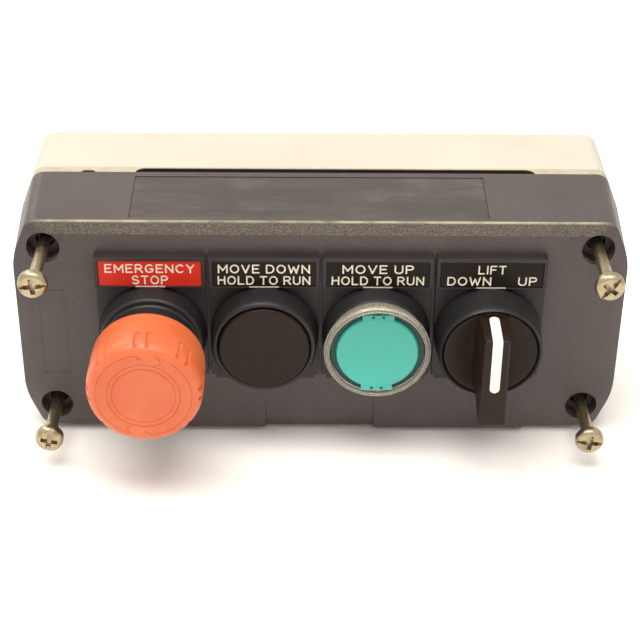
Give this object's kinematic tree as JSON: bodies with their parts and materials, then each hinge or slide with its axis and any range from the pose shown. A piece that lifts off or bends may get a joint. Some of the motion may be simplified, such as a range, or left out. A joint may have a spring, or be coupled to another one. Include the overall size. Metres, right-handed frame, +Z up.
{
  "type": "pendant control station",
  "caption": "Dark-lidded plastic control station with a red emergency-stop mushroom, a black and a green push-button, a long-handled selector and captive lid screws.",
  "frame": {"origin": "centre of the flat rear mounting face", "axes": "+X along the case towards the selector, +Y out of the rear face (the operators face -Y), +Z up towards the legends; the case stands on its lower long side"},
  "size_m": [0.166, 0.0853, 0.068],
  "materials": {
    "grey_case": "fine-grained light grey polycarbonate",
    "dark_case": "fine-grained dark grey polycarbonate",
    "label_film": "smooth clear-coated film, unprinted",
    "seal_rubber": "matte black elastomer",
    "brass": "turned",
    "zinc_steel": "yellowish zinc plate",
    "spring_steel": "drawn wire",
    "holder_plastic": "satin dark grey",
    "red_legend": "red laminate with engraved pale letters",
    "black_legend": "black laminate with engraved pale letters",
    "bezel_plastic": "satin black",
    "nut_plastic": "moulded",
    "red_plastic": "satin orange-red",
    "inner_plastic": "moulded",
    "black_plastic": "satin black",
    "clear_plastic": "clear moulded plastic",
    "green_lens": "translucent green",
    "white_plastic": "white inlay",
    "block_plastic": "moulded contact block housing",
    "red_plunger": "moulded",
    "green_plunger": "moulded"
  },
  "bodies": {
    "base": {"base_shell": "grey_case", "thread_inserts": "brass", "estop_contact_block": "block_plastic", "black_contact_block": "block_plastic", "green_contact_block": "block_plastic", "green_lamp_block": "block_plastic", "selector_left_contact_block": "block_plastic", "selector_right_contact_block": "block_plastic", "terminal_screws": "zinc_steel"},
    "cover": {"cover_shell": "dark_case", "film_label": "label_film", "lid_gasket": "seal_rubber", "estop_legend_holder": "holder_plastic", "estop_legend": "red_legend", "estop_head": "bezel_plastic", "estop_seal": "seal_rubber", "estop_nut": "nut_plastic", "estop_spring": "spring_steel", "black_legend_holder": "holder_plastic", "black_legend": "black_legend", "black_head": "bezel_plastic", "black_seal": "seal_rubber", "black_nut": "nut_plastic", "black_spring": "spring_steel", "green_legend_holder": "holder_plastic", "green_legend": "black_legend", "green_head": "bezel_plastic", "green_seal": "seal_rubber", "green_nut": "nut_plastic", "green_spring": "spring_steel", "selector_legend_holder": "holder_plastic", "selector_legend": "black_legend", "selector_head": "bezel_plastic", "selector_seal": "seal_rubber", "selector_nut": "nut_plastic", "selector_spring": "spring_steel", "green_clear_ring": "clear_plastic"},
    "estop_pusher": {"estop_stem": "inner_plastic"},
    "estop_cap": {"estop_mushroom": "red_plastic", "estop_hub": "inner_plastic"},
    "black_pusher": {"black_button": "black_plastic"},
    "green_pusher": {"green_lens": "green_lens", "green_lens_holder": "inner_plastic"},
    "selector_knob": {"selector_handle": "black_plastic", "selector_pointer": "white_plastic", "selector_cam": "inner_plastic"},
    "cover_screw_1": {"cover_screw_1": "zinc_steel"},
    "cover_screw_2": {"cover_screw_2": "zinc_steel"},
    "cover_screw_3": {"cover_screw_3": "zinc_steel"},
    "cover_screw_4": {"cover_screw_4": "zinc_steel"},
    "estop_contact_plunger": {"estop_contact_plunger": "red_plunger"},
    "black_contact_plunger": {"black_contact_plunger": "green_plunger"},
    "green_contact_plunger": {"green_contact_plunger": "green_plunger"},
    "selector_left_contact_plunger": {"selector_left_contact_plunger": "green_plunger"},
    "selector_right_contact_plunger": {"selector_right_contact_plunger": "green_plunger"}
  },
  "joints": [
    {"name": "cover_lift", "type": "slide", "parent": "base", "child": "cover", "axis": [0, -1, 0], "range_m": [0, 0.08]},
    {"name": "screw_1_slide", "type": "slide", "parent": "cover", "child": "cover_screw_1", "axis": [0, 1, 0], "range_m": [0, 0.0224]},
    {"name": "screw_2_slide", "type": "slide", "parent": "cover", "child": "cover_screw_2", "axis": [0, 1, 0], "range_m": [0, 0.0224]},
    {"name": "screw_3_slide", "type": "slide", "parent": "cover", "child": "cover_screw_3", "axis": [0, 1, 0], "range_m": [-0.0025, 0.0199]},
    {"name": "screw_4_slide", "type": "slide", "parent": "cover", "child": "cover_screw_4", "axis": [0, 1, 0], "range_m": [-0.0025, 0.0199]},
    {"name": "estop_press", "type": "slide", "parent": "cover", "child": "estop_pusher", "axis": [0, 1, 0], "range_m": [0, 0.005], "stiffness_N_per_m": 1500, "springref_m": -0.002, "deforming": ["estop_spring"]},
    {"name": "estop_twist", "type": "hinge", "parent": "estop_pusher", "child": "estop_cap", "pos_m": [-0.045, -0.077, 0], "axis": [0, 1, 0], "range_deg": [0, 30], "stiffness_Nm_per_rad": 0.15},
    {"name": "black_press", "type": "slide", "parent": "cover", "child": "black_pusher", "axis": [0, 1, 0], "range_m": [0, 0.0035], "stiffness_N_per_m": 800, "springref_m": -0.002, "deforming": ["black_spring"]},
    {"name": "green_press", "type": "slide", "parent": "cover", "child": "green_pusher", "axis": [0, 1, 0], "range_m": [0, 0.0035], "stiffness_N_per_m": 800, "springref_m": -0.002, "deforming": ["green_spring"]},
    {"name": "selector_turn", "type": "hinge", "parent": "cover", "child": "selector_knob", "pos_m": [0.045, -0.065, 0], "axis": [0, 1, 0], "range_deg": [-45, 45], "stiffness_Nm_per_rad": 0.2, "deforming": ["selector_spring"]},
    {"name": "estop_contact_travel", "type": "slide", "parent": "base", "child": "estop_contact_plunger", "axis": [0, 1, 0], "range_m": [0, 0.005]},
    {"name": "black_contact_travel", "type": "slide", "parent": "base", "child": "black_contact_plunger", "axis": [0, 1, 0], "range_m": [0, 0.0035]},
    {"name": "green_contact_travel", "type": "slide", "parent": "base", "child": "green_contact_plunger", "axis": [0, 1, 0], "range_m": [0, 0.0035]},
    {"name": "selector_left_contact_travel", "type": "slide", "parent": "base", "child": "selector_left_contact_plunger", "axis": [0, 1, 0], "range_m": [0, 0.0035], "stiffness_N_per_m": 600, "springref_m": -0.001},
    {"name": "selector_right_contact_travel", "type": "slide", "parent": "base", "child": "selector_right_contact_plunger", "axis": [0, 1, 0], "range_m": [0, 0.0035], "stiffness_N_per_m": 600, "springref_m": -0.001}
  ],
  "couplings": [
    {"joint": "estop_contact_travel", "follows": "estop_press", "ratio": 1},
    {"joint": "black_contact_travel", "follows": "black_press", "ratio": 1},
    {"joint": "green_contact_travel", "follows": "green_press", "ratio": 1}
  ]
}
